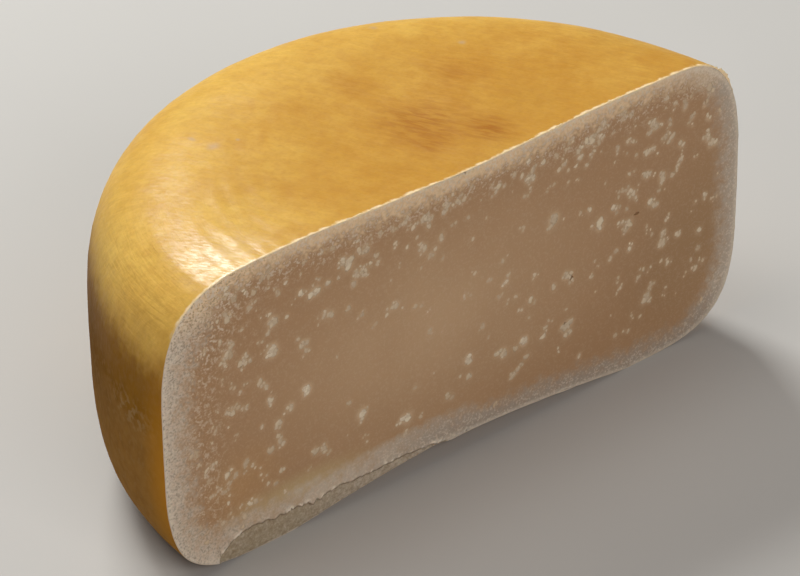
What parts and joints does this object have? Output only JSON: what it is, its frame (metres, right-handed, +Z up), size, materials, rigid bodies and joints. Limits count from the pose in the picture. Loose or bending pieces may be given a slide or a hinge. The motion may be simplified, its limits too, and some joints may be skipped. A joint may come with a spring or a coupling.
{
  "type": "half wheel of sheep milk cheese",
  "caption": "Half of a round, hard, aged sheep milk cheese, cut straight down through the middle and standing on its underside.",
  "frame": {"origin": "middle of the foot of the bounding box, on the surface that the cheese stands on", "axes": "+Z up, the flat knife cut faces -Y, +X along the cut to the right as one looks at it"},
  "size_m": [0.25, 0.125, 0.1122],
  "materials": {
    "cheese": "yellow-orange glossy coat on the rind, dry beige-brown paste with white crystals on the cut"
  },
  "bodies": {
    "root": {"cheese_half": "cheese"}
  },
  "joints": []
}
